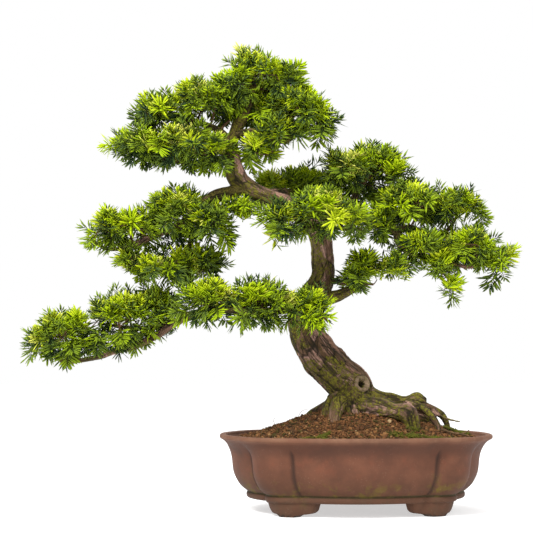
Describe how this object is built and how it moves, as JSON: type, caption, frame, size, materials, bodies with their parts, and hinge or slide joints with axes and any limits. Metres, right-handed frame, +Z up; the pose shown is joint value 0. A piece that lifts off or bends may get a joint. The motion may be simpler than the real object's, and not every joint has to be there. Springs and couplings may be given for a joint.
{
  "type": "bonsai tree in a pot",
  "caption": "Yew bonsai with a leaning, curved trunk, surface roots and layered needle pads, growing from a soil mound in a lobed oval clay pot on low feet.",
  "frame": {"origin": "middle of the underside of the whole object's box, at the level that the pot's feet stand on", "axes": "+X along the pot's long side, towards the end that the roots run to; the low limb reaches out to -X; -Y is the front of the tree; +Z up"},
  "size_m": [0.794, 0.334, 0.74],
  "materials": {
    "clay": "unglazed reddish-brown stoneware, matt, with a trace of algae near the foot",
    "earth": "granular, damp, matt",
    "moss": "soft, matt",
    "screen": "matt black mesh",
    "wire": "dull annealed wire",
    "bark": "flaking pinkish-brown bark with moss",
    "needles": "semi-matt evergreen needles"
  },
  "bodies": {
    "root": {"pot": "clay", "soil": "earth", "moss_right_front": "moss", "moss_left_front": "moss", "moss_right_end": "moss", "drain_screen_left": "screen", "drain_screen_right": "screen", "screen_clip_left": "wire", "screen_clip_right": "wire", "trunk": "bark", "limb_lower_left": "bark", "limb_inner_left": "bark", "limb_middle_left": "bark", "limb_right": "bark", "limb_back_right": "bark", "limb_front": "bark", "limb_low_right": "bark", "limb_crown_left_low": "bark", "limb_crown_left_high": "bark", "limb_crown_right": "bark", "pad_crown_top": "needles", "pad_crown_right": "needles", "pad_crown_left_high": "needles", "pad_crown_left_low": "needles", "pad_back_right": "needles", "pad_upper_right": "needles", "pad_right_mid": "needles", "pad_right_low": "needles", "pad_front": "needles", "pad_low_right": "needles", "pad_middle_left": "needles", "pad_middle_left_low": "needles", "pad_lower_left": "needles", "pad_inner_left": "needles"}
  },
  "joints": []
}
